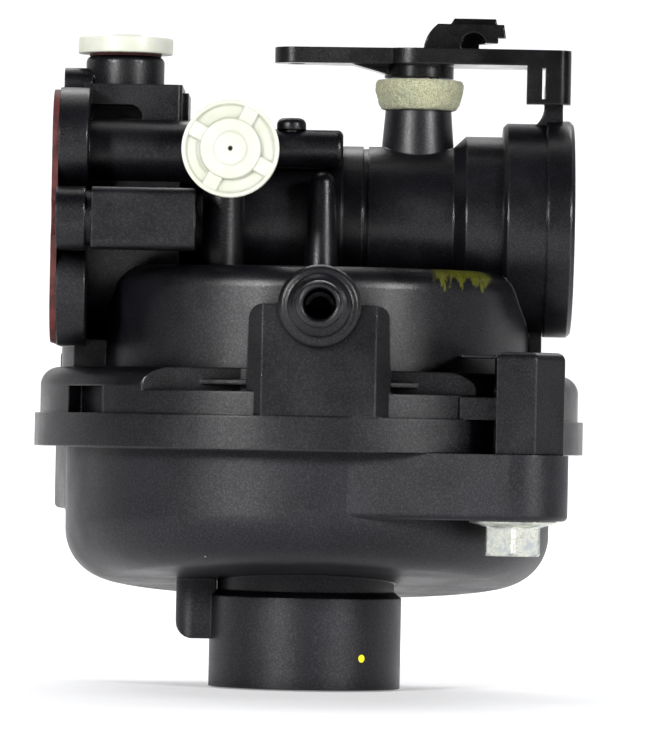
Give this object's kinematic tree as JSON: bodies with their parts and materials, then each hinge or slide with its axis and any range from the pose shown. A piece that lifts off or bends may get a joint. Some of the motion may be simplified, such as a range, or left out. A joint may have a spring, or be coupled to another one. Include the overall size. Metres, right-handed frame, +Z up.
{
  "type": "carburetor",
  "caption": "Float-bowl carburetor of a small engine: throttle barrel with lever, fuel inlet nipple, jet plugs and a screwed-on bowl.",
  "frame": {"origin": "centre of the throttle bore at the engine-side end face", "axes": "+X out of the bore towards the engine, +Z up with the bowl below, -Y towards the fuel inlet side"},
  "size_m": [0.083, 0.1017, 0.1017],
  "materials": {
    "body_plastic": "satin moulded black plastic with fine grain",
    "bowl_plastic": "satin moulded black plastic with fine grain",
    "lever_plastic": "smooth black plastic",
    "white_nylon": "translucent-looking ivory nylon",
    "red_silicone": "matte silicone rubber",
    "black_rubber": "matte rubber",
    "foam": "open-cell foam",
    "zinc_steel": "zinc plated",
    "steel": "ground",
    "brass": "turned",
    "float_plastic": "closed-cell float"
  },
  "bodies": {
    "main": {"carburetor_body": "body_plastic", "inlet_flange_seal": "red_silicone", "engine_side_oring": "black_rubber", "shaft_foam_seal": "foam", "front_jet_plug": "white_nylon", "front_plug_oring": "black_rubber", "front_plug_washer": "red_silicone", "top_jet_plug": "white_nylon", "top_plug_oring": "black_rubber", "top_plug_washer": "red_silicone", "idle_rail_plug": "body_plastic", "main_nozzle": "brass", "main_jet": "brass", "needle_seat": "brass", "float_hinge_pin": "steel", "fuel_inlet_fitting": "body_plastic", "bowl_gasket": "black_rubber", "bowl": "bowl_plastic", "bowl_screws": "zinc_steel"},
    "throttle": {"throttle_shaft": "steel", "throttle_plate": "brass", "throttle_plate_screw": "steel", "throttle_lever": "lever_plastic"},
    "float": {"float": "float_plastic"},
    "needle": {"inlet_needle": "steel"}
  },
  "joints": [
    {"name": "throttle_turn", "type": "hinge", "parent": "main", "child": "throttle", "pos_m": [-0.0235, 0, 0], "axis": [0, 0, -1], "range_deg": [0, 78]},
    {"name": "float_swing", "type": "hinge", "parent": "main", "child": "float", "pos_m": [-0.0378, -0.0275, -0.029], "axis": [1, 0, 0], "range_deg": [0, 10]},
    {"name": "needle_slide", "type": "slide", "parent": "main", "child": "needle", "axis": [0, 0, 1], "range_m": [0, 0.00106]}
  ],
  "couplings": [
    {"joint": "needle_slide", "follows": "float_swing", "m_per_rad": 0.006}
  ]
}
